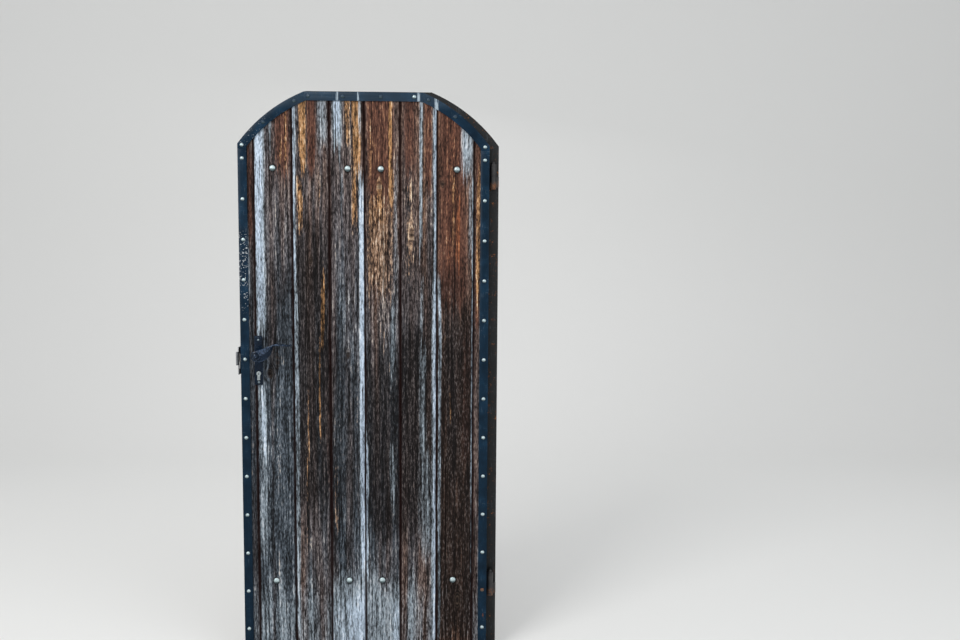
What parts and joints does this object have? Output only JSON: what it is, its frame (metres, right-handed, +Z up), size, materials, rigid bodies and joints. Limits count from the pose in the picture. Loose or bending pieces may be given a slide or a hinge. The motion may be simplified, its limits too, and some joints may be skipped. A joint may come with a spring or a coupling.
{
  "type": "arched plank door",
  "caption": "Weathered plank door with an arched top, steel edging, strap hinges, lever handle and mortise lock, hung in a slim steel frame.",
  "frame": {"origin": "underside of the frame's sill, halfway through the frame's depth, below the middle of the leaf", "axes": "+X along the wall towards the hinges as seen from the street, +Y into the building, +Z up"},
  "size_m": [0.9625, 0.1616, 2.106],
  "materials": {
    "weathered_wood": "old brown stain worn to silver grey bands, open grain",
    "edging_paint": "blue-black paint, half gloss, scratched",
    "frame_paint": "black paint, half matt",
    "hinge_iron": "dark iron with rust at the edges",
    "strike_steel": "dull zinc-plated steel",
    "bright_zinc": "galvanised, slightly dull",
    "lock_steel": "bare steel, oiled",
    "cylinder_nickel": "nickel plate, worn",
    "handle_black": "black powder coat, satin"
  },
  "bodies": {
    "frame": {"outer_frame": "frame_paint", "pintle_top": "hinge_iron", "pintle_bottom": "hinge_iron", "strike_plate": "strike_steel", "strike_screws": "bright_zinc"},
    "leaf": {"board_1": "weathered_wood", "board_2": "weathered_wood", "board_3": "weathered_wood", "board_4": "weathered_wood", "board_5": "weathered_wood", "board_6": "weathered_wood", "board_7": "weathered_wood", "board_8": "weathered_wood", "leaf_edging": "edging_paint", "edging_screws": "bright_zinc", "carriage_bolts": "bright_zinc", "bolt_nuts": "bright_zinc", "strap_top": "hinge_iron", "strap_bottom": "hinge_iron", "forend_plate": "strike_steel", "forend_screws": "bright_zinc", "lock_case": "lock_steel", "lock_cover": "lock_steel", "latch_spring": "lock_steel", "cylinder_body": "cylinder_nickel", "cylinder_screw": "bright_zinc", "backplate_outside": "handle_black", "backplate_inside": "handle_black", "plate_screws": "bright_zinc"},
    "lever": {"lever_outside": "handle_black", "lever_inside": "handle_black", "spindle": "lock_steel", "follower": "lock_steel", "lever_pins": "lock_steel"},
    "latch": {"latch_bolt": "lock_steel"},
    "core": {"cylinder_core": "cylinder_nickel"},
    "dead_bolt": {"dead_bolt": "lock_steel"}
  },
  "joints": [
    {"name": "leaf_swing", "type": "hinge", "parent": "frame", "child": "leaf", "pos_m": [0.4695, -0.0401, 0], "axis": [0, 0, 1], "range_deg": [0, 110]},
    {"name": "lever_turn", "type": "hinge", "parent": "leaf", "child": "lever", "pos_m": [-0.39, -0.049, 1.146], "axis": [0, 1, 0], "range_deg": [0, 35], "stiffness_Nm_per_rad": 1.2, "springref_deg": -68.75},
    {"name": "latch_slide", "type": "slide", "parent": "leaf", "child": "latch", "axis": [1, 0, 0], "range_m": [0, 0.011], "deforming": ["latch_spring"]},
    {"name": "core_turn", "type": "hinge", "parent": "leaf", "child": "core", "pos_m": [-0.39, -0.049, 1.074], "axis": [0, -1, 0], "range_deg": [0, 360]},
    {"name": "dead_bolt_slide", "type": "slide", "parent": "leaf", "child": "dead_bolt", "axis": [-1, 0, 0], "range_m": [0, 0.02]}
  ],
  "couplings": [
    {"joint": "latch_slide", "follows": "lever_turn", "m_per_rad": 0.018007},
    {"joint": "core_turn", "follows": "dead_bolt_slide", "rad_per_m": 314.16}
  ]
}
